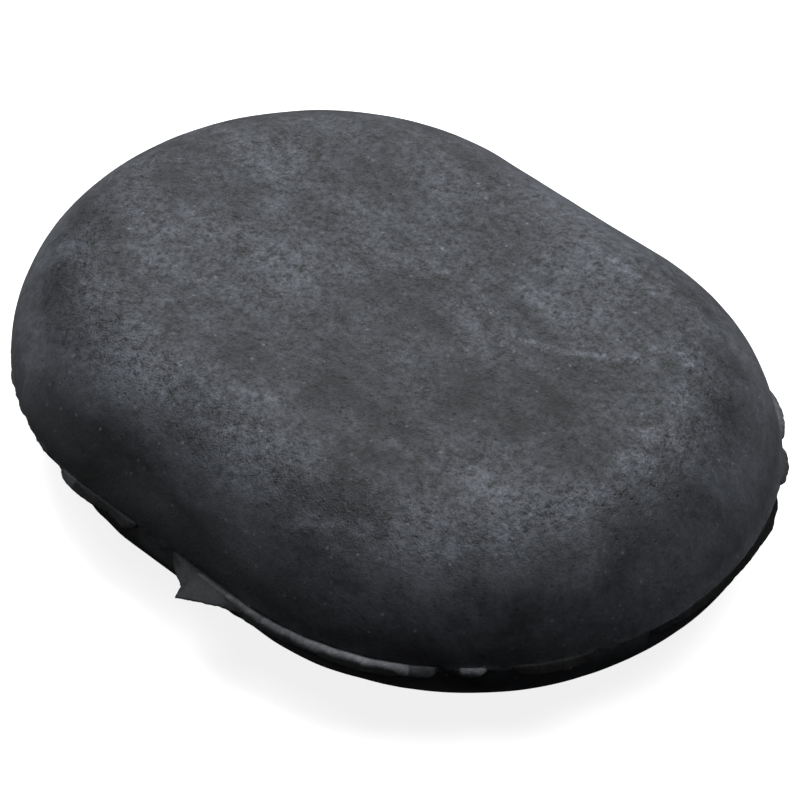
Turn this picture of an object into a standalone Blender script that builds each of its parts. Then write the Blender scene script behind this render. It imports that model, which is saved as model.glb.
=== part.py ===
# Basalt massage stone: an obround stone with a broad flat face above and below,
# rounded shoulders between them, and torn remnants of thin flash on its parting line.
# Metres, +Z up. The origin is the centre of the flat underside, and +X runs along the stone.

import math

import bmesh
import bpy
from mathutils import Vector

# The stone
LENGTH = 0.0800
WIDTH = 0.0588
UPPER_RISE = 0.0113  # from the parting line up to the flat top
LOWER_DROP = 0.0093  # from the flat underside up to the parting line
UPPER_SHOULDER = 0.0120  # plan width of the rounded shoulder above the parting line
LOWER_SHOULDER = 0.0120  # the same below it

# The flash
ROOT_GAP = 0.0003  # between the stone and the root of a remnant
FLASH_THICKNESS = 0.0004
FLASH_END_REACH = 0.0005  # how far most remnants still stand out where they break off
TAB_START = 0.0009  # from the middle of the near side
TAB_LENGTH = 0.0097
TAB_REACH = 0.0037
BREAK = 0.0004  # between the tab and the strip that goes on from it

# How finely the round surfaces are divided
END_STEPS = 36  # round each half-circle end
SHOULDER_STEPS = 10  # up each quarter-round shoulder
FLASH_STEP = 0.0010  # longest stretch of flash between two cross lines

BASALT_COLOUR = (0.065, 0.068, 0.075)
FLASH_COLOUR = (0.090, 0.092, 0.096)  # thinner and more rubbed, so a little paler
STONE_ROUGHNESS = 0.82


def clear_scene():
    for existing in list(bpy.data.objects):
        bpy.data.objects.remove(existing, do_unlink=True)


def stone_material(name, colour):
    material = bpy.data.materials.new(name)
    material.use_nodes = True
    shader = material.node_tree.nodes["Principled BSDF"]
    shader.inputs["Base Color"].default_value = (*colour, 1.0)
    shader.inputs["Roughness"].default_value = STONE_ROUGHNESS
    shader.inputs["Metallic"].default_value = 0.0
    return material


def finished_object(name, shape, colour):
    """Turns the shape into a smooth-shaded object with its own material."""
    bmesh.ops.recalc_face_normals(shape, faces=shape.faces)
    mesh = bpy.data.meshes.new(name)
    shape.to_mesh(mesh)
    shape.free()
    mesh.materials.append(stone_material(name, colour))
    mesh.shade_smooth()
    mesh.set_sharp_from_angle(angle=math.radians(30))
    finished = bpy.data.objects.new(name, mesh)
    bpy.context.scene.collection.objects.link(finished)
    return finished


# The outline is a stretch of straight side between two half-circle ends.


def end_radius():
    return WIDTH / 2


def half_straight():
    return (LENGTH - WIDTH) / 2


def outline_points():
    """The parting outline, counter-clockwise from the near corner of the +X end."""
    points = []
    for centre, start in ((half_straight(), -90), (-half_straight(), 90)):
        for step in range(END_STEPS + 1):
            turn = math.radians(start + 180 * step / END_STEPS)
            x = centre + end_radius() * math.cos(turn)
            points.append((x, end_radius() * math.sin(turn), LOWER_DROP))
    return points


def move_inside(vert, inset, height):
    """Puts the point at this distance inside the outline, straight inwards from where it is."""
    centre = max(-half_straight(), min(half_straight(), vert.co.x))
    outward = Vector((vert.co.x - centre, vert.co.y)).normalized()
    radius = end_radius() - inset
    vert.co = (centre + radius * outward.x, radius * outward.y, height)


def grow_shoulder(shape, rim, shoulder, rise):
    """Extrudes the rim along a quarter ellipse, and closes it with the flat face."""
    for step in range(1, SHOULDER_STEPS + 1):
        turn = math.pi / 2 * step / SHOULDER_STEPS
        grown = bmesh.ops.extrude_edge_only(shape, edges=rim)["geom"]
        rim = [item for item in grown if isinstance(item, bmesh.types.BMEdge)]
        for item in grown:
            if isinstance(item, bmesh.types.BMVert):
                inset = shoulder * (1 - math.cos(turn))
                move_inside(item, inset, LOWER_DROP + rise * math.sin(turn))
    bmesh.ops.contextual_create(shape, geom=rim)


def make_stone_body():
    shape = bmesh.new()
    corners = [shape.verts.new(point) for point in outline_points()]
    parting = [shape.edges.new(pair) for pair in zip(corners, corners[1:] + corners[:1])]
    grow_shoulder(shape, parting, UPPER_SHOULDER, UPPER_RISE)
    grow_shoulder(shape, parting, LOWER_SHOULDER, -LOWER_DROP)
    finished_object("stone_body", shape, BASALT_COLOUR)


# A place on the parting line is its distance along the outline from the middle of the near
# (-Y) side, counter-clockwise seen from above. Places on the +X end are given by their angle
# round the end's centre, with 0 at the tip of the stone.


def on_end(degrees):
    return half_straight() + end_radius() * math.radians(degrees + 90)


def beside_outline(place, offset):
    """The point this far outside the outline at this place, on the parting plane."""
    centre = max(-half_straight(), min(half_straight(), place))
    turn = (place - centre) / end_radius() - math.pi / 2
    radius = end_radius() + offset
    return (centre + radius * math.cos(turn), radius * math.sin(turn), LOWER_DROP)


def divided(stations):
    """The stations, with more between them so that no two are over a flash step apart."""
    yield stations[0]
    for (start, reach_before), (end, reach_after) in zip(stations, stations[1:]):
        steps = math.ceil((end - start) / FLASH_STEP)
        for step in range(1, steps + 1):
            share = step / steps
            place = start + share * (end - start)
            yield place, reach_before + share * (reach_after - reach_before)


def make_flash(name, stations):
    """A remnant through its stations, each a place and how far the flash reaches out there."""
    shape = bmesh.new()
    before = None
    for place, reach in divided(stations):
        root = shape.verts.new(beside_outline(place, ROOT_GAP))
        torn = shape.verts.new(beside_outline(place, reach))
        if before:
            shape.faces.new((*before, torn, root))
        before = (root, torn)
    remnant = finished_object(name, shape, FLASH_COLOUR)
    wall = remnant.modifiers.new("flash_thickness", "SOLIDIFY")
    wall.thickness = FLASH_THICKNESS
    wall.offset = 0.0


def make_near_side_flash():
    make_flash("flash_left_strip", [
        (-0.0145, FLASH_END_REACH), (-0.0116, 0.00075), (-0.0090, 0.00068),
        (-0.0072, FLASH_END_REACH), (-0.0048, 0.00090), (-0.0038, FLASH_END_REACH),
    ])
    tab_end = TAB_START + TAB_LENGTH
    make_flash("flash_torn_tab", [
        (TAB_START, FLASH_END_REACH),
        (TAB_START + 0.37 * TAB_LENGTH, 0.60 * TAB_REACH),
        (TAB_START + 0.45 * TAB_LENGTH, TAB_REACH),
        (TAB_START + 0.83 * TAB_LENGTH, 0.47 * TAB_REACH),
        (tab_end, 0.35 * TAB_REACH),
    ])
    make_flash("flash_near_strip", [
        (tab_end + BREAK, 0.00105), (on_end(-73), 0.00092), (on_end(-66), 0.00130),
        (on_end(-59), 0.00112), (on_end(-55), 0.00080), (on_end(-51), FLASH_END_REACH),
    ])


def make_end_flash():
    make_flash("flash_corner_chip", [
        (on_end(-48.5), FLASH_END_REACH), (on_end(-46), 0.00078),
        (on_end(-42.5), FLASH_END_REACH),
    ])
    make_flash("flash_corner_strip", [
        (on_end(-38), FLASH_END_REACH), (on_end(-33), 0.00080),
        (on_end(-28), 0.00088), (on_end(-23), FLASH_END_REACH),
    ])
    make_flash("flash_end_strip", [
        (on_end(-12), FLASH_END_REACH), (on_end(-4), 0.00075), (on_end(3), 0.00075),
        (on_end(9), 0.00055), (on_end(16), 0.00062), (on_end(23), 0.00088),
        (on_end(26), 0.00068), (on_end(30.5), FLASH_END_REACH),
    ])
    make_flash("flash_end_flake_low", [
        (on_end(33), FLASH_END_REACH), (on_end(38), 0.00097),
        (on_end(41), 0.00082), (on_end(43.5), FLASH_END_REACH),
    ])
    make_flash("flash_end_flake_high", [
        (on_end(45), FLASH_END_REACH), (on_end(49), 0.00084), (on_end(53), 0.00100),
        (on_end(57), 0.00080), (on_end(60.5), FLASH_END_REACH),
    ])


clear_scene()
make_stone_body()
make_near_side_flash()
make_end_flash()
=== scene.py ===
import math
import random

import bmesh
import bpy
from mathutils import Matrix, Vector, noise


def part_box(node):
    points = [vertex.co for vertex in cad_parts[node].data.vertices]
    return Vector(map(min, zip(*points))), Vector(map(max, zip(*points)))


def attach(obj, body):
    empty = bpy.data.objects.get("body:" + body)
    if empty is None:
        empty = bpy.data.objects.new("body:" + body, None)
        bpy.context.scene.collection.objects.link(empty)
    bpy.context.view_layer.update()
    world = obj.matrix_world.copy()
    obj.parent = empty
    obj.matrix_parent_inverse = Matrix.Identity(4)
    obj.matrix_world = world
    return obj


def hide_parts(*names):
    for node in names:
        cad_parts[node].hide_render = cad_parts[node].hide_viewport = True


# Dark basalt massage stone: one refined stone and the eight torn bits of flash on its parting line.
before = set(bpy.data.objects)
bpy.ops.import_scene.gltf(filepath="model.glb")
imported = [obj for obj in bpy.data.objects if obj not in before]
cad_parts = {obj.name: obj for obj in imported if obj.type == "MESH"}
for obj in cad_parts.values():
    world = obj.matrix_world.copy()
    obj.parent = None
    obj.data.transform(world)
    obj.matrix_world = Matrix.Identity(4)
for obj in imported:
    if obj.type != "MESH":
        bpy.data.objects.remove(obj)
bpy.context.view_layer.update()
bpy.ops.object.select_all(action="DESELECT")

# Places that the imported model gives
stoneLow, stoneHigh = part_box("stone_body")
tabLow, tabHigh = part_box("flash_torn_tab")
partingHeight = (tabLow.z + tabHigh.z) / 2
endRadius = (stoneHigh.y - stoneLow.y) / 2
halfStraight = (stoneHigh.x - stoneLow.x) / 2 - endRadius
upperRise = stoneHigh.z - partingHeight
lowerDrop = partingHeight - stoneLow.z
mm = 0.001


# Small helpers for shaping

def pick(piece, kind, test):  # selects exactly the points, edges or faces that pass the test
    bpy.ops.mesh.select_mode(type=kind)
    bpy.ops.mesh.select_all(action="DESELECT")
    shape = bmesh.from_edit_mesh(piece.data)
    for part in {"VERT": shape.verts, "EDGE": shape.edges, "FACE": shape.faces}[kind]:
        part.select = test(part)
    shape.select_flush_mode()
    bmesh.update_edit_mesh(piece.data)


def smoothStep(value, start, end):  # 0 before start, 1 after end; start may be the larger one
    share = max(0.0, min(1.0, (value - start) / (end - start)))
    return share * share * (3 - 2 * share)


def hump(value, riseStart, riseEnd, fallStart, fallEnd):  # 0, then 1 between the two slopes, then 0
    return smoothStep(value, riseStart, riseEnd) * (1 - smoothStep(value, fallStart, fallEnd))


def cloudTexture(name, size, depth=2, contrast=1.0):
    texture = bpy.data.textures.new(name, "CLOUDS")
    texture.noise_scale = size
    texture.noise_depth = depth
    texture.contrast = contrast
    return texture


def weighGroup(piece, name, weight):  # a vertex group with a weight for each point, from its place
    group = piece.vertex_groups.new(name=name)
    for vert in piece.data.vertices:
        share = weight(vert.co)
        if share > 0.001:
            group.add([vert.index], share, "REPLACE")


def applyModifier(piece, kind, **settings):
    modifier = piece.modifiers.new(kind.lower(), kind)
    for name, value in settings.items():
        setattr(modifier, name, value)
    bpy.context.view_layer.objects.active = piece
    bpy.ops.object.modifier_apply(modifier=modifier.name)


def pressSurface(piece, strength, group="", texture=None, middle=0.5, direction="NORMAL"):
    applyModifier(piece, "DISPLACE", strength=strength, mid_level=middle, vertex_group=group,
                  texture=texture, texture_coords="LOCAL", direction=direction)


def startPiece(piece, name):  # the new primitive's place goes into its mesh, and edit mode opens
    piece.name = name
    piece.data.name = name
    bpy.ops.object.select_all(action="DESELECT")
    piece.select_set(True)
    bpy.context.view_layer.objects.active = piece
    bpy.ops.object.transform_apply(location=True, rotation=True, scale=True)
    bpy.ops.object.mode_set(mode="EDIT")


# Floor, light and camera

studio = {
    "floorColour": (0.86, 0.86, 0.86), "floorRoughness": 0.9, "floorGlow": 0.86, "floorSize": 8.0,
    "skyColour": (1.0, 1.0, 1.0),
    "lightDistance": 0.80,
    "softboxes": [  # name, side and height in degrees, size, power
        ("overheadRight", 35, 70, (0.36, 0.36), 1.60),
        ("overheadLeft", 215, 70, (0.36, 0.36), 0.70),
        ("overheadFar", 155, 62, (0.36, 0.50), 2.35),
        ("farRight", 92, 42, (0.36, 0.50), 0.38),
        ("farLow", 132, 22, (0.70, 0.42), 1.75),
        ("tableBounceLeft", 225, -15, (0.36, 0.36), 0.24),
        ("tableBounceRight", 45, -15, (0.36, 0.36), 0.10),
        ("tableBounceNear", 315, -15, (0.36, 0.36), 0.12),
    ],
}


def addSoftbox(name, side, height, size, power):  # side and height are angles round the stone
    turn, lift = math.radians(side), math.radians(height)
    away = Vector((math.cos(lift) * math.cos(turn), math.cos(lift) * math.sin(turn), math.sin(lift)))
    centre = Vector((0, 0, partingHeight))
    bpy.ops.object.light_add(type="AREA", location=centre + away * studio["lightDistance"])
    box = bpy.context.object
    box.name = name
    box.rotation_euler = away.to_track_quat("Z", "Y").to_euler()
    box.data.shape = "RECTANGLE"
    box.data.size, box.data.size_y = size
    box.data.energy = power
    box.visible_camera = False


def makeStudio():
    bpy.ops.mesh.primitive_plane_add(size=studio["floorSize"], location=(0, 0, 0))
    floor = bpy.context.object
    floor.name = "studioFloor"
    paper = bpy.data.materials.new("palePaper")
    paper.use_nodes = True
    shader = paper.node_tree.nodes["Principled BSDF"]
    shader.inputs["Base Color"].default_value = (*studio["floorColour"], 1.0)
    shader.inputs["Roughness"].default_value = studio["floorRoughness"]
    shader.inputs["Emission Color"].default_value = (1.0, 1.0, 1.0, 1.0)
    shader.inputs["Emission Strength"].default_value = studio["floorGlow"]
    floor.data.materials.append(paper)
    floor.visible_diffuse = False  # the light that the table throws back comes from softboxes below it
    floor.visible_glossy = False
    floor.visible_shadow = False

    world = bpy.data.worlds.new("paleStudio")
    world.use_nodes = True
    world.node_tree.nodes["Background"].inputs["Color"].default_value = (*studio["skyColour"], 1.0)
    bpy.context.scene.world = world
    world.cycles_visibility.diffuse = False
    world.cycles_visibility.glossy = False
    bpy.context.scene.view_settings.view_transform = "Standard"

    for softbox in studio["softboxes"]:
        addSoftbox(*softbox)


view = {
    "azimuth": 45.9, "elevation": 42.64, "roll": -1.2, "distance": 0.393,
    "lens": 183.7, "sensorWidth": 36, "shiftX": 0.0130, "shiftY": -0.0105, "nearLimit": 0.01,
}


def makeCamera():
    turn, lift, roll = (math.radians(view[key]) for key in ("azimuth", "elevation", "roll"))
    back = Vector((math.sin(turn) * math.cos(lift), -math.cos(turn) * math.cos(lift), math.sin(lift)))
    level = Vector((math.cos(turn), math.sin(turn), 0))
    upright = back.cross(level)
    right = math.cos(roll) * level + math.sin(roll) * upright
    up = -math.sin(roll) * level + math.cos(roll) * upright
    centre = Vector((0, 0, partingHeight))
    bpy.ops.object.camera_add(location=centre + back * view["distance"])
    camera = bpy.context.object
    camera.rotation_euler = Matrix((right, up, back)).transposed().to_euler()
    camera.data.sensor_width = view["sensorWidth"]
    camera.data.lens = view["lens"]
    camera.data.shift_x = view["shiftX"]
    camera.data.shift_y = view["shiftY"]
    camera.data.clip_start = view["nearLimit"]
    bpy.context.scene.camera = camera


makeStudio()
makeCamera()
print("studio and camera ready")


# The stone. "along" is in millimetres along X, and "turn" is in degrees round an end's centre.
# Four numbers in a row say where a stretch fades in and where it fades out.

stone = {
    "roundVerts": 512, "sideCuts": 28,  # round both ends, and along each straight side
    "upperShoulder": 12.0 * mm, "lowerShoulder": 12.0 * mm,
    "upperRings": 44, "lowerRings": 30,
    "seamHeights": (0.10 * mm, 0.22 * mm, 0.40 * mm),  # close rings beside the parting line
    "topGrid": 0.5 * mm, "undersideGrid": 1.6 * mm,

    "seamSize": 1.0 * mm, "seamStrength": 0.30 * mm, "seamMiddle": 0.40,
    "seamBand": (0.02 * mm, 0.42 * mm),
    "calmShare": 0.6, "calmTurn": (-25, -12, 58, 70),  # smoother behind the end's flash
    "leftSeamSize": 1.2 * mm, "leftSeamStrength": 0.26 * mm, "leftSeamMiddle": 0.45,
    "leftSeamTurn": (-132, -124, -96, -90),

    # the lower half is short of material under the left strip, and fuller from there on
    "underfill": -1.0 * mm, "underfillEnd": (-13.6, -10.2),
    "underfillSteps": ((0.30, -29.0, -24.0), (0.35, -20.5, -17.5), (0.35, -16.8, -14.8)),
    "underfillBelow": (0.0, 0.4 * mm), "underfillHeight": (0.3 * mm, 5.0 * mm),
    "overfill": 0.40 * mm,
    "overfillHumps": ((1.0, (-10.5, -6.5, 1.0, 7.0)), (0.35, (10.0, 14.0, 17.0, 22.0))),
    "overfillBelow": (0.3 * mm, 2.5 * mm), "overfillHeight": (0.2 * mm, 4.0 * mm),

    # the parting edge flares out where it meets the flash
    "lip": 0.28 * mm, "lipTurn": (-16, -9, 58, 64), "lipAbove": (0.0, 1.8 * mm), "lipBelow": (-0.7 * mm, 0.0),
    "nearLipShare": 0.45, "nearLipAlong": (4.0 * mm, 9.0 * mm), "nearLipTurn": (-60, -56),

    "dish": -0.15 * mm, "dishCentre": (7.0 * mm, -2.0 * mm), "dishFlat": 0.25, "dishRadius": 19.0 * mm,
    "swell": (18.0 * mm, 0.22 * mm), "waver": (6.0 * mm, 0.10 * mm), "dimples": (1.7 * mm, 0.030 * mm),
    "wornHeight": (0.02 * mm, 1.5 * mm),  # the face that it rests on stays flat
}


def ringTurns(rise, count):  # angles up the quarter-round shoulder
    turns = [0.0] + [math.asin(height / rise) for height in stone["seamHeights"]]
    first = turns[-1]
    return turns + [first + (math.pi / 2 - first) * step / count for step in range(1, count + 1)]


def insetShoulder(width, rise, count):
    turns = ringTurns(rise, count)
    for last, turn in zip(turns, turns[1:]):
        bpy.ops.mesh.inset(thickness=width * (math.cos(last) - math.cos(turn)),
                           depth=rise * (math.sin(turn) - math.sin(last)))


def cutGrid(spacing):  # cuts the one selected flat face into squares
    bpy.ops.mesh.hide(unselected=True)
    for along, reach in ((Vector((1, 0, 0)), halfStraight + endRadius), (Vector((0, 1, 0)), endRadius)):
        count = int(reach / spacing)
        for step in range(-count, count + 1):
            bpy.ops.mesh.select_all(action="SELECT")
            bpy.ops.mesh.bisect(plane_co=along * step * spacing, plane_no=along)
    bpy.ops.mesh.reveal(select=False)


def endTurn(place, side):  # the angle round the centre of the +X end or the -X end
    return math.degrees(math.atan2(place.y, place.x - side * halfStraight))


def seamWeight(place):
    calm = stone["calmShare"] * hump(endTurn(place, 1), *stone["calmTurn"])
    return (1 - calm) * (1 - smoothStep(abs(place.z - partingHeight), *stone["seamBand"]))


def leftSeamWeight(place):  # the ragged stretch round the near left corner
    return seamWeight(place) * hump(endTurn(place, -1), *stone["leftSeamTurn"])


def underfillWeight(place):
    if place.y > 0 or place.z > partingHeight:
        return 0.0
    along = place.x / mm
    depth = sum(share * smoothStep(along, start, end) for share, start, end in stone["underfillSteps"])
    depth *= 1 - smoothStep(along, *stone["underfillEnd"])
    below = smoothStep(partingHeight - place.z, *stone["underfillBelow"])
    return depth * below * smoothStep(place.z, *stone["underfillHeight"])


def overfillWeight(place):
    if place.y > 0 or place.z > partingHeight:
        return 0.0
    depth = sum(share * hump(place.x / mm, *stretch) for share, stretch in stone["overfillHumps"])
    below = smoothStep(partingHeight - place.z, *stone["overfillBelow"])
    return depth * below * smoothStep(place.z, *stone["overfillHeight"])


def lipWeight(place):
    turn = endTurn(place, 1)
    share = hump(turn, *stone["lipTurn"])
    if place.y < 0:
        along = smoothStep(place.x, *stone["nearLipAlong"])
        share = max(share, stone["nearLipShare"] * along * (1 - smoothStep(turn, *stone["nearLipTurn"])))
    above = place.z - partingHeight
    return share * (1 - smoothStep(above, *stone["lipAbove"])) * smoothStep(above, *stone["lipBelow"])


def dishWeight(place):
    across = Vector((place.x - stone["dishCentre"][0], place.y - stone["dishCentre"][1])).length
    depth = 1 - smoothStep(across, stone["dishFlat"] * stone["dishRadius"], stone["dishRadius"])
    return depth if place.z > partingHeight else 0.0


def wornWeight(place):
    return smoothStep(place.z, *stone["wornHeight"])


def shapeStone():
    bpy.ops.mesh.primitive_circle_add(vertices=stone["roundVerts"], radius=endRadius,
                                      location=(0, 0, partingHeight))
    piece = bpy.context.object
    startPiece(piece, "basaltStone")
    for side in (1, -1):  # the two half circles move apart
        pick(piece, "VERT", lambda vert: vert.co.x * side > 0.01 * mm)
        bpy.ops.transform.translate(value=(side * halfStraight, 0, 0))
    pick(piece, "EDGE", lambda edge: edge.calc_length() > 3 * mm)  # the two straight sides
    bpy.ops.mesh.subdivide(number_cuts=stone["sideCuts"])
    bpy.ops.mesh.select_all(action="SELECT")
    bpy.ops.mesh.edge_face_add()
    bpy.ops.mesh.select_mode(type="FACE")
    if next(iter(bmesh.from_edit_mesh(piece.data).faces)).normal.z < 0:  # insets rise along the normal
        bpy.ops.mesh.flip_normals()
    insetShoulder(stone["upperShoulder"], upperRise, stone["upperRings"])
    cutGrid(stone["topGrid"])
    pick(piece, "EDGE", lambda edge: edge.is_boundary)
    bpy.ops.mesh.edge_face_add()
    bpy.ops.mesh.select_all(action="SELECT")
    bpy.ops.mesh.normals_make_consistent(inside=False)
    pick(piece, "FACE", lambda face: len(face.verts) > stone["roundVerts"])
    insetShoulder(stone["lowerShoulder"], lowerDrop, stone["lowerRings"])
    cutGrid(stone["undersideGrid"])
    bpy.ops.object.mode_set(mode="OBJECT")
    print("stone shape:", len(piece.data.vertices), "points")
    return piece


def wearStone(piece):  # presses the unevenness into the even shape
    weights = {"seam": seamWeight, "leftSeam": leftSeamWeight, "underfill": underfillWeight,
               "overfill": overfillWeight, "lip": lipWeight, "dish": dishWeight, "worn": wornWeight}
    for name, weight in weights.items():
        weighGroup(piece, name, weight)
    for name in ("underfill", "overfill", "lip", "dish"):
        pressSurface(piece, stone[name], name, middle=0.0)
    for name in ("swell", "waver", "dimples"):
        size, strength = stone[name]
        pressSurface(piece, strength, "worn", cloudTexture(name, size))
    seamRoughness = cloudTexture("seamRoughness", stone["seamSize"], depth=3, contrast=1.6)
    pressSurface(piece, stone["seamStrength"], "seam", seamRoughness, stone["seamMiddle"])
    leftSeamRoughness = cloudTexture("leftSeamRoughness", stone["leftSeamSize"], contrast=2.2)
    pressSurface(piece, stone["leftSeamStrength"], "leftSeam", leftSeamRoughness, stone["leftSeamMiddle"])
    bpy.ops.object.shade_smooth()
    piece.vertex_groups.clear()
    print("stone surface worked")


# The torn flash. A place is the distance along the outline from the middle of the near side.

flash = {
    "rootDepth": 0.35 * mm,  # how far inside the stone each remnant begins
    "sweepReach": 1.0 * mm,  # its reach while it is swept, before each station is set
    "cuts": 5, "step": 0.28 * mm,  # across the remnant, and along it
    "thickness": 0.42 * mm, "edgeShare": 0.50,  # the torn edge is thinner than the root
    "wave": (2.2 * mm, 0.16 * mm), "tooth": (0.45 * mm, 0.05 * mm),
    "ragged": 0.05 * mm, "lobes": 0.07 * mm, "lobeSize": 1.3 * mm,
    "endTaper": 0.7 * mm, "endSlack": 0.05 * mm, "endReach": 0.25, "endHeight": 0.3,
    "joinLength": 0.8 * mm,  # the torn edge is smooth this near to where two remnants meet
    "thinBy": 1.0 * mm,
    "rowSlack": 0.03 * mm, "columnGrid": 0.02 * mm, "columnSlack": 0.05 * mm, "rootSlack": 0.02 * mm,
}


def endPlace(degrees):  # a place on the +X end, given by its angle round the end's centre
    return halfStraight + endRadius * math.radians(degrees + 90)


def atMillimetres(*stations):
    return [(place * mm, reach * mm) for place, reach in stations]


def atDegrees(*stations):
    return [(endPlace(degrees), reach * mm) for degrees, reach in stations]


# profile is the height in millimetres at the root, at one third, at two thirds and at the torn edge
remnants = [
    {"name": "leftFlash", "node": "flash_left_strip", "seed": 11, "profile": (0.15, 0.15, -0.10, -0.50),
     "stations": atMillimetres((-14.5, 0.30), (-13.2, 0.60), (-11.6, 0.75), (-9.0, 0.68), (-7.2, 0.45),
                               (-6.2, 0.55), (-4.8, 0.90), (-3.8, 0.40))},
    {"name": "tornTab", "node": "flash_torn_tab", "seed": 12, "profile": (0.10, 0.10, -0.10, -0.35),
     "cuts": 8, "step": 0.14 * mm, "tapers": (True, False),
     "stations": atMillimetres((1.4, 0.35), (2.3, 1.00), (3.4, 1.70), (4.3, 2.10), (4.75, 2.45),
                               (5.05, 3.15), (5.3, 3.70), (6.0, 3.35), (7.4, 2.55), (8.95, 1.74),
                               (10.2, 1.36), (11.3, 0.95))},
    {"name": "nearFlash", "node": "flash_near_strip", "seed": 13, "profile": (0.00, 0.20, -0.15, -0.70),
     "tapers": (False, True),
     "stations": atMillimetres((9.8, 1.22), (10.8, 1.22), (11.6, 1.10))
        + atDegrees((-80, 0.98), (-73, 0.92), (-66, 1.30), (-59, 1.12), (-57.5, 0.85), (-55, 0.80),
                    (-51, 0.40))},
    {"name": "cornerChip", "node": "flash_corner_chip", "seed": 14, "profile": (0.00, 0.15, 0.00, -0.35),
     "step": 0.2 * mm, "stations": atDegrees((-48.5, 0.40), (-46, 0.78), (-44.5, 0.70), (-42.5, 0.35))},
    {"name": "cornerFlash", "node": "flash_corner_strip", "seed": 15, "profile": (0.10, 0.10, -0.20, -0.60),
     "stations": atDegrees((-38, 0.40), (-33, 0.80), (-28, 0.88), (-23, 0.40))},
    {"name": "endFlash", "node": "flash_end_strip", "seed": 16, "profile": (0.10, 0.10, -0.20, -0.55),
     "stations": atDegrees((-12, 0.40), (-4, 0.56), (3, 0.62), (9, 0.55), (16, 0.62), (23, 0.88),
                           (26, 0.68), (30.5, 0.40))},
    {"name": "lowerEndFlake", "node": "flash_end_flake_low", "seed": 17,
     "profile": (0.00, 0.10, 0.00, -0.25), "step": 0.2 * mm,
     "stations": atDegrees((33, 0.35), (35, 0.75), (38, 0.97), (41, 0.82), (43.5, 0.35))},
    {"name": "upperEndFlake", "node": "flash_end_flake_high", "seed": 18,
     "profile": (0.00, 0.10, 0.00, -0.25), "step": 0.2 * mm,
     "stations": atDegrees((45, 0.40), (49, 0.84), (53, 1.00), (57, 0.80), (60.5, 0.35))},
]


def besideOutline(place, offset):  # the point this far outside the outline, and the way along it
    centre = max(-halfStraight, min(halfStraight, place))
    turn = (place - centre) / endRadius - math.pi / 2
    outward = Vector((math.cos(turn), math.sin(turn), 0))
    along = Vector((-outward.y, outward.x, 0))
    point = Vector((centre, 0, partingHeight)) + outward * (endRadius + offset)
    return point, along


def placeOf(point):  # the nearest place on the outline, for points on the near side and the +X end
    centre = max(-halfStraight, min(halfStraight, point.x))
    if abs(point.x - centre) < 0.001 * mm:
        return point.x
    turn = math.atan2(point.y, point.x - centre)
    if turn > math.pi / 2:
        turn -= 2 * math.pi
    return centre + endRadius * (turn + math.pi / 2)


def offsetOf(point):
    centre = max(-halfStraight, min(halfStraight, point.x))
    return math.hypot(point.x - centre, point.y) - endRadius


def reachAt(place, stations):
    for (start, before), (end, after) in zip(stations, stations[1:]):
        if place <= end:
            share = max(0.0, (place - start) / (end - start))
            return before + (after - before) * share
    return stations[-1][1]


def heightAt(offset, profile):  # the height of the cross section this far outside the outline
    share = max(0.0, offset / flash["sweepReach"]) * 3
    first = min(2, int(share))
    return (profile[first] + (profile[first + 1] - profile[first]) * (share - first)) * mm


def sweepFlash(start, end, step):  # carries the selected cross line along the outline
    corners = [start] + [place for place in (-halfStraight, halfStraight) if start < place < end] + [end]
    for first, last in zip(corners, corners[1:]):
        steps = max(1, round((last - first) / step))
        middle = (first + last) / 2
        if abs(middle) <= halfStraight:
            bpy.ops.mesh.extrude_repeat(steps=steps, offset=((last - first) / steps, 0, 0))
        else:
            centre = math.copysign(halfStraight, middle)
            bpy.ops.mesh.spin(steps=steps, angle=-(last - first) / endRadius,
                              center=(centre, 0, partingHeight), axis=(0, 0, 1))


def startRemnant(remnant):  # one cross line at the remnant's start, swept to its end
    start, end = remnant["stations"][0][0], remnant["stations"][-1][0]
    span = flash["rootDepth"] + flash["sweepReach"]
    point, along = besideOutline(start, flash["sweepReach"] - span / 2)
    bpy.ops.mesh.primitive_plane_add(size=span, location=point + along * span / 2,
                                     rotation=(0, 0, math.atan2(along.y, along.x)))
    piece = bpy.context.object
    startPiece(piece, remnant["name"])
    pick(piece, "VERT", lambda vert: (vert.co - point).dot(along) > span / 2)
    bpy.ops.mesh.delete(type="VERT")
    bpy.ops.mesh.select_mode(type="VERT")
    bpy.ops.mesh.select_all(action="SELECT")
    cuts = remnant.get("cuts", flash["cuts"])
    bpy.ops.mesh.subdivide(number_cuts=cuts)
    sweepFlash(start, end, remnant.get("step", flash["step"]))

    rows = cuts + 1  # each row of points goes to its height in the cross section
    for row in range(rows + 1):
        offset = row * span / rows - flash["rootDepth"]
        pick(piece, "VERT", lambda vert: abs(offsetOf(vert.co) - offset) < flash["rowSlack"])
        bpy.ops.transform.translate(value=(0, 0, heightAt(offset, remnant["profile"])))
    return piece


def findColumns(piece):  # the places of the cross lines
    grid = flash["columnGrid"]
    shape = bmesh.from_edit_mesh(piece.data)
    places = sorted({round(placeOf(vert.co) / grid) for vert in shape.verts})
    columns = [places[0]]
    for place in places:
        if place - columns[-1] > 2:
            columns.append(place)
    return [column * grid for column in columns]


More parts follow.
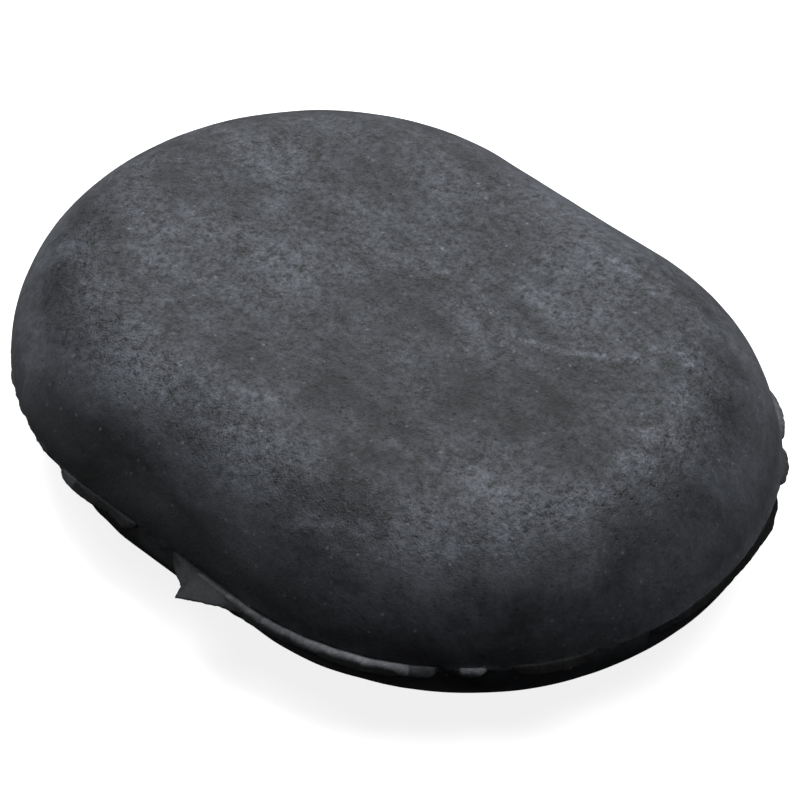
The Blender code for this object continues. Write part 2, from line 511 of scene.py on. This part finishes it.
def tearEdge(piece, remnant):  # resizes each cross line to the remnant's reach there, with a ragged edge
    draw = random.Random(remnant["seed"])
    stations = remnant["stations"]
    start, end = stations[0][0], stations[-1][0]
    tapersIn, tapersOut = remnant.get("tapers", (True, True))
    slack, taper = flash["endSlack"], flash["endTaper"]
    for place in findColumns(piece):
        rough = flash["lobes"] * noise.noise(Vector((place / flash["lobeSize"], remnant["seed"], 0)))
        rough += flash["ragged"] * draw.uniform(-1, 1)
        ends = min(smoothStep(place, start - slack, start + taper) if tapersIn else 1,
                   smoothStep(place, end + slack, end - taper) if tapersOut else 1)
        joined = min(1, (place - start) / flash["joinLength"], (end - place) / flash["joinLength"])
        reach = reachAt(place, stations) + rough * max(0, joined)
        share = reach * (flash["endReach"] + (1 - flash["endReach"]) * ends) / flash["sweepReach"]
        pick(piece, "VERT", lambda vert: abs(placeOf(vert.co) - place) < flash["columnSlack"]
             and offsetOf(vert.co) > flash["rootSlack"])
        bpy.ops.transform.resize(value=(share, share, flash["endHeight"] + (1 - flash["endHeight"]) * ends),
                                 center_override=besideOutline(place, 0)[0])
    bpy.ops.object.mode_set(mode="OBJECT")


def thickenRemnant(piece, remnant):
    size, strength = flash["wave"]
    pressSurface(piece, strength, texture=cloudTexture(remnant["name"] + "Wave", size), direction="Z")
    thinBy = min(max(reach for place, reach in remnant["stations"]), flash["thinBy"])
    weighGroup(piece, "body", lambda place: 1 - smoothStep(offsetOf(place), 0, thinBy))
    applyModifier(piece, "SOLIDIFY", thickness=flash["thickness"], offset=0.0, vertex_group="body",
                  thickness_vertex_group=flash["edgeShare"])
    applyModifier(piece, "SUBSURF", levels=2, render_levels=2)
    size, strength = flash["tooth"]
    pressSurface(piece, strength, texture=cloudTexture(remnant["name"] + "Tooth", size))
    bpy.ops.object.mode_set(mode="EDIT")
    bpy.ops.mesh.select_all(action="SELECT")
    bpy.ops.mesh.normals_make_consistent(inside=False)
    bpy.ops.object.mode_set(mode="OBJECT")
    bpy.ops.object.shade_smooth()
    piece.vertex_groups.clear()


# Basalt. Lengths on it are in millimetres, and strengths are shares of its tone.

# marks seen from above: start, end, half width, soft edge, how much paler
stoneMarksAndRimHighlight = [
    # fine scratches on the flat top
    ((4.2, 7.2), (12.0, 5.0), 0.10, 0.80, 0.35), ((12.0, 5.0), (16.2, 6.6), 0.15, 0.60, 0.70),
    ((16.2, 6.6), (23.4, 11.4), 0.12, 0.60, 0.65), ((22.2, 12.8), (24.8, 14.4), 0.10, 0.60, 0.70),
    ((24.8, 14.4), (27.2, 12.2), 0.15, 0.70, 0.80), ((27.2, 12.2), (29.0, 8.6), 0.20, 0.80, 0.60),
    ((5.2, 19.6), (10.5, 19.7), 0.10, 0.60, 0.50), ((10.5, 19.7), (16.0, 19.0), 0.15, 0.70, 0.70),
    ((15.2, 13.0), (17.4, 20.8), 0.10, 0.90, 0.35), ((3.4, 23.4), (7.6, 24.6), 0.30, 0.90, 0.55),
    ((13.2, -24.6), (19.4, -21.6), 0.20, 0.70, 0.70), ((21.7, -21.4), (26.3, -18.4), 0.20, 0.80, 0.60),
    # rubbed stretches, and one painted rim highlight
    ((29.6, 4.0), (30.6, 4.8), 0.40, 1.20, 0.80), ((31.2, 1.1), (31.0, -9.1), 0.5, 1.8, 0.40),
    ((31.0, -9.1), (28.6, -14.5), 0.5, 1.8, 0.35), ((-30.8, -16.4), (-29.6, -14.0), 0.6, 1.6, 0.60),
    ((-14.5, -13.3), (-23.0, -9.4), 1.0, 7.0, 0.18), ((-20.2, 8.0), (-18.0, 8.5), 1.0, 7.0, 0.14),
    # the second mark on the next line is a painted highlight along the near left rim, where light grazes it
    ((-0.2, 8.6), (2.0, 9.0), 1.0, 6.0, 0.14), ((-34.5, -15.5), (-24.0, -25.5), 1.0, 2.5, 0.60),
    ((0.0, 25.0), (11.0, 25.0), 1.5, 3.5, 0.45), ((11.0, 25.0), (24.0, 21.0), 1.5, 3.5, 0.45),
    # darker patches
    ((17.0, -3.8), (24.0, -2.5), 2.0, 7.5, -0.28), ((4.0, -14.0), (20.0, -12.5), 1.0, 6.0, -0.16),
    ((-24.5, -17.5), (-19.0, -22.5), 2.0, 5.0, -0.30), ((34.5, 1.0), (31.5, 13.0), 1.5, 4.0, -0.15),
    ((-30.0, -6.0), (-27.5, -13.0), 2.0, 4.5, -0.16),
    # single pale grains
    ((-8.0, -19.2), (-7.9, -19.2), 0.15, 0.30, 1.8), ((0.7, 7.2), (0.8, 7.2), 0.15, 0.30, 1.6),
    ((16.9, 18.8), (17.0, 18.8), 0.15, 0.35, 1.8), ((3.4, 23.2), (3.5, 23.2), 0.15, 0.35, 1.8),
]
flashMarksAndHighlights = [
    # the left strip and the tab
    ((-13.9, -29.9), (-12.8, -29.9), 0.50, 0.50, 6.5), ((-12.0, -29.9), (-4.0, -29.9), 1.00, 0.50, 1.2),
    ((2.8, -31.0), (7.0, -31.6), 1.80, 1.20, 1.5),
    # painted highlight: a pale line along the root of the near strip, where the crest of the bead catches the
    # light
    ((5.2, -29.85), (9.0, -29.85), 0.05, 0.28, 5.0), ((9.0, -29.85), (11.5, -29.90), 0.06, 0.30, 8.0),
    ((11.5, -29.90), (13.6, -29.77), 0.06, 0.32, 11.0), ((13.6, -29.77), (15.8, -29.46), 0.06, 0.33, 14.0),
    ((15.8, -29.46), (18.2, -28.93), 0.06, 0.34, 17.0), ((18.2, -28.93), (20.6, -28.20), 0.07, 0.35, 20.0),
    ((20.6, -28.20), (23.7, -26.92), 0.07, 0.36, 23.0), ((23.7, -26.92), (27.15, -24.93), 0.07, 0.36, 23.0),
    ((27.15, -24.93), (29.0, -23.5), 0.10, 0.35, 6.0),
    # the corner chip, whose mark carries the painted highlight of the near strip on, and the two end flakes
    ((31.0, -21.5), (32.2, -20.3), 0.10, 0.40, 13.0),
    ((33.4, 19.6), (34.4, 18.2), 1.50, 1.00, 4.0), ((31.8, 21.4), (26.5, 25.6), 1.50, 1.00, 9.0),
]

# wear, painted highlight and painted shade fade in over each range of a measure, and may come in patches
wearAndPaintedLight = [
    {"strength": 0.42,  # whitish rub where the flat top turns down at the +X end
     "fades": [("inset", 7.0, 8.6), ("inset", 12.0, 9.6), ("x", 2.0, 14.0), ("y", -26.0, 4.0, 0.15)],
     "patches": {"move": (1, 2, 3), "scale": 0.30, "detail": 5.0, "rough": 0.75, "distortion": 0.6,
                 "range": (0.42, 0.66)}},
    {"strength": 0.35,  # the parting edge
     "fades": [("fromSeam", 0.9, 0.1)],
     "patches": {"scale": 0.5, "detail": 3.0, "rough": 0.5, "range": (0.40, 0.62)}},
    {"strength": 0.55,  # painted highlight: the rim at the two far corners, paler where light grazes it
     "fades": [("toCorner", 24.0, 36.0), ("inset", 5.0, 0.5), ("above", -1.0, 0.0)]},
    {"strength": 1.1,  # the parting edge at the +X end, behind the flakes of flash: paler wear, and a painted highlight along the flared lip
     "fades": [("fromSeam", 2.6, 0.3), ("y", 1.0, 9.0), ("x", 18.0, 27.0)],
     "patches": {"scale": 0.35, "detail": 4.0, "rough": 0.7, "range": (0.38, 0.62)}},
    {"strength": -0.34,  # painted shade: the near shoulder, facing away from the lights, is painted darker
     "fades": [("inset", 5.4, 2.2), ("toNear", 18.0, 26.0)]},
]

basalt = {
    "name": "chalkyBasalt", "colour": (0.0800, 0.0868, 0.1015),
    "tints": ((1.03, 0.99, 1.01), (0.97, 1.01, 0.99)), "tintScale": 0.12,
    "blotch": (0.075, 1.6), "streaks": (0.17, 2.2), "grain": (1.1, 5.6),  # features per millimetre, strength
    "grainShare": 0.28, "topGrain": 0.76,  # all over, and how much more of it on the flat top
    "specks": (0.85, 0.15, 1.3), "pores": (0.90, 0.20, -0.25),  # features per millimetre, size, strength
    "toneFloor": 0.3, "grainFloor": 0.15,
    "marks": stoneMarksAndRimHighlight, "patchiness": 0.35, "stray": 0.8, "wearAndPaintedLight": wearAndPaintedLight,
    "roughness": (0.50, 0.68), "bump": 0.250 * mm, "specular": 0.38,
    "sheen": 0.10, "sheenRoughness": 0.5,  # the powdery skin catches light at a low angle
}
# painted shade: the flash's colour is set far darker than the stone's, so that the drooping outer part of
# each remnant reads dark
tornBasalt = dict(basalt, name="tornBasalt", colour=(0.0150, 0.0158, 0.0172), marks=flashMarksAndHighlights,
                  patchiness=0.8, stray=0.2, wearAndPaintedLight=[], specular=0.25, sheen=0.04)


def addNode(tree, kind, inputs=None, **settings):
    made = tree.nodes.new(kind)
    for name, value in settings.items():
        setattr(made, name, value)
    for name, value in (inputs or {}).items():
        if isinstance(value, bpy.types.NodeSocket):
            tree.links.new(value, made.inputs[name])
        else:
            made.inputs[name].default_value = value
    return made


def maths(tree, operation, *values, clamp=False):
    inputs = dict(enumerate(values))
    return addNode(tree, "ShaderNodeMath", inputs, operation=operation, use_clamp=clamp).outputs[0]


def vectors(tree, operation, *values, output="Vector"):
    return addNode(tree, "ShaderNodeVectorMath", dict(enumerate(values)), operation=operation).outputs[output]


def scaled(tree, vector, share):
    inputs = {0: vector, "Scale": share}
    return addNode(tree, "ShaderNodeVectorMath", inputs, operation="SCALE").outputs["Vector"]


def ramp(tree, value, start, end, low=0.0, high=1.0):  # eased, and start may be the larger
    inputs = {"Value": value, "From Min": start, "From Max": end, "To Min": low, "To Max": high}
    return addNode(tree, "ShaderNodeMapRange", inputs, interpolation_type="SMOOTHSTEP").outputs["Result"]


def cloud(tree, where, scale, detail=3.0, rough=0.5, distortion=0.0, output="Fac"):
    inputs = {"Vector": where, "Scale": scale, "Detail": detail, "Roughness": rough, "Distortion": distortion}
    return addNode(tree, "ShaderNodeTexNoise", inputs).outputs[output]


def moved(tree, vector, location, turn=0.0, scale=(1, 1, 1)):
    inputs = {"Vector": vector, "Location": location, "Rotation": (0, 0, turn), "Scale": scale}
    return addNode(tree, "ShaderNodeMapping", inputs).outputs["Vector"]


def measureSurface(tree, look):  # where each point of the surface is, in millimetres
    place = addNode(tree, "ShaderNodeTexCoord").outputs["Object"]
    grid = moved(tree, place, (0, 0, 0), scale=(1 / mm, 1 / mm, 1 / mm))
    x, y, z = addNode(tree, "ShaderNodeSeparateXYZ", {"Vector": grid}).outputs
    middle = maths(tree, "MINIMUM", maths(tree, "MAXIMUM", x, -halfStraight / mm), halfStraight / mm)
    beyond = maths(tree, "SUBTRACT", x, middle)
    outwards = maths(tree, "SQRT", maths(tree, "MULTIPLY_ADD", beyond, beyond, maths(tree, "MULTIPLY", y, y)))
    above = maths(tree, "SUBTRACT", z, partingHeight / mm)
    cornerwards = maths(tree, "MULTIPLY_ADD", x, 0.83, maths(tree, "MULTIPLY", y, 0.55))

    # the plan from above, with its lines slightly wandering
    stray = look["stray"]
    wander = cloud(tree, grid, 0.6, output="Color")
    level = moved(tree, grid, (-stray / 2, -stray / 2, 0), scale=(1, 1, 0))
    return {
        "grid": grid, "x": x, "y": y, "above": above,
        "inset": maths(tree, "SUBTRACT", endRadius / mm, outwards),  # how far inside the outline
        "fromSeam": maths(tree, "ABSOLUTE", above),
        "toCorner": maths(tree, "ABSOLUTE", cornerwards),
        "toNear": maths(tree, "MULTIPLY_ADD", x, 0.17, maths(tree, "MULTIPLY", y, -0.98)),
        "plan": vectors(tree, "MULTIPLY_ADD", wander, (stray, stray, 0), level),
    }


def mottle(tree, look, grid):  # the tone in large blotches, and in streaks along the stone
    (blotchScale, blotchStrength), (streakScale, streakStrength) = look["blotch"], look["streaks"]
    blotch = cloud(tree, grid, blotchScale, 2.0)
    lengthwise = moved(tree, grid, (7, 3, 1), math.radians(6), (0.45, 1, 1))
    streaks = cloud(tree, lengthwise, streakScale, 3.0, 0.6, 0.5)
    tone = maths(tree, "MULTIPLY_ADD", maths(tree, "SUBTRACT", blotch, 0.5), blotchStrength, 1.0)
    return maths(tree, "MULTIPLY_ADD", maths(tree, "SUBTRACT", streaks, 0.5), streakStrength, tone)


def addSpecks(tree, look, grid, tone):  # pale mineral specks
    scale, size, strength = look["specks"]
    cells = addNode(tree, "ShaderNodeTexVoronoi", {"Vector": grid, "Scale": scale}).outputs
    specks = ramp(tree, cells["Distance"], 1.3 * size, 0.4 * size)
    specks = maths(tree, "MULTIPLY", specks, ramp(tree, cells["Color"], 0.25, 0.85))
    return maths(tree, "MULTIPLY_ADD", specks, strength, tone)


def findPores(tree, look, grid):  # small dark pores
    scale, size, strength = look["pores"]
    elsewhere = moved(tree, grid, (3, 8, 5))
    cells = addNode(tree, "ShaderNodeTexVoronoi", {"Vector": elsewhere, "Scale": scale}).outputs
    return ramp(tree, cells["Distance"], 0.9 * size, 0.4 * size)


# the marks hold real marks and painted highlights along the flash and the near left rim
def addMarks(tree, look, where, tone):
    paler, darker = 0.0, 0.0
    for start, end, halfWidth, soft, strength in look["marks"]:
        line = Vector((*end, 0)) - Vector((*start, 0))
        fromStart = vectors(tree, "SUBTRACT", where["plan"], (*start, 0))
        onLine = vectors(tree, "DOT_PRODUCT", fromStart, line / line.length_squared, output="Value")
        nearest = scaled(tree, line, maths(tree, "MULTIPLY", onLine, 1.0, clamp=True))
        away = vectors(tree, "DISTANCE", fromStart, nearest, output="Value")
        mark = ramp(tree, away, halfWidth + soft, halfWidth, 0.0, strength)
        if strength > 0:
            paler = maths(tree, "MAXIMUM", paler, mark)
        else:
            darker = maths(tree, "MINIMUM", darker, mark)
    patchy = ramp(tree, cloud(tree, where["grid"], 0.9, 4.0, 0.6), 0.38, 0.60, look["patchiness"], 1.0)
    change = maths(tree, "MULTIPLY_ADD", paler, patchy, darker)
    onUpper = ramp(tree, where["above"], -1.5, -0.8)
    return maths(tree, "MULTIPLY_ADD", change, onUpper, tone)


# adds one entry of the list: real wear, a painted highlight or painted shade
def addWearAndPaintedLight(tree, worn, where, tone):
    amount = 1.0
    for measure, start, end, *low in worn["fades"]:
        amount = maths(tree, "MULTIPLY", ramp(tree, where[measure], start, end, *low), amount)
    if "patches" in worn:
        patches = worn["patches"]
        grid = moved(tree, where["grid"], patches["move"]) if "move" in patches else where["grid"]
        patchy = cloud(tree, grid, patches["scale"], patches["detail"], patches["rough"],
                       patches.get("distortion", 0.0))
        amount = maths(tree, "MULTIPLY", ramp(tree, patchy, *patches["range"]), amount)
    return maths(tree, "MULTIPLY_ADD", amount, worn["strength"], tone)


def colourFor(tree, look, grid, tone):  # the tone times a colour that drifts between two tints
    drift = cloud(tree, moved(tree, grid, (20, 9, 4)), look["tintScale"], 2.0)
    mix = addNode(tree, "ShaderNodeMix", {"Factor": drift}, data_type="RGBA")
    for name, tint in zip("AB", look["tints"]):
        mix.inputs[name].default_value = (*(part * share for part, share in zip(look["colour"], tint)), 1)
    return scaled(tree, mix.outputs["Result"], tone)


def makeBasalt(look):
    material = bpy.data.materials.new(look["name"])
    material.use_nodes = True
    tree = material.node_tree
    shader = tree.nodes["Principled BSDF"].inputs
    where = measureSurface(tree, look)
    grid = where["grid"]

    pores = findPores(tree, look, grid)
    tone = addSpecks(tree, look, grid, mottle(tree, look, grid))
    tone = maths(tree, "MULTIPLY_ADD", pores, look["pores"][2], tone)
    tone = addMarks(tree, look, where, tone)
    # wear, painted highlights and painted shade from the list
    for worn in look["wearAndPaintedLight"]:
        tone = addWearAndPaintedLight(tree, worn, where, tone)

    # the grain shows most on the flat top
    grainScale, grainStrength = look["grain"]
    grain = cloud(tree, grid, grainScale, 3.0, 1.0)
    flatTop = maths(tree, "MULTIPLY", ramp(tree, where["inset"], 2.0, 9.0),
                    ramp(tree, where["above"], 0.0, 4.0))
    grainShare = maths(tree, "MULTIPLY_ADD", flatTop, look["topGrain"], look["grainShare"])
    grainTone = maths(tree, "MULTIPLY", maths(tree, "SUBTRACT", grain, 0.5), grainShare)
    grainTone = maths(tree, "MULTIPLY_ADD", grainTone, grainStrength, 1.0)
    tone = maths(tree, "MULTIPLY", maths(tree, "MAXIMUM", tone, look["toneFloor"]),
                 maths(tree, "MAXIMUM", grainTone, look["grainFloor"]))
    tree.links.new(colourFor(tree, look, grid, tone), shader["Base Color"])
    tree.links.new(ramp(tree, grain, 0.30, 0.70, *look["roughness"]), shader["Roughness"])

    relief = maths(tree, "MULTIPLY", maths(tree, "MULTIPLY_ADD", pores, -0.25, grain), grainShare)
    bump = addNode(tree, "ShaderNodeBump", {"Height": relief, "Strength": 1.0, "Distance": look["bump"]})
    tree.links.new(bump.outputs["Normal"], shader["Normal"])
    shader["Specular IOR Level"].default_value = look["specular"]
    shader["Sheen Weight"].default_value = look["sheen"]
    shader["Sheen Roughness"].default_value = look["sheenRoughness"]
    return material


# Putting it together

def finishPiece(piece, material, node):
    piece.data.materials.clear()
    piece.data.materials.append(material)
    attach(piece, "root")
    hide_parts(node)


stoneBasalt = makeBasalt(basalt)
flashBasalt = makeBasalt(tornBasalt)

stonePiece = shapeStone()
wearStone(stonePiece)
finishPiece(stonePiece, stoneBasalt, "stone_body")

for remnant in remnants:
    flashPiece = startRemnant(remnant)
    tearEdge(flashPiece, remnant)
    thickenRemnant(flashPiece, remnant)
    finishPiece(flashPiece, flashBasalt, remnant["node"])
    print("made", remnant["name"])
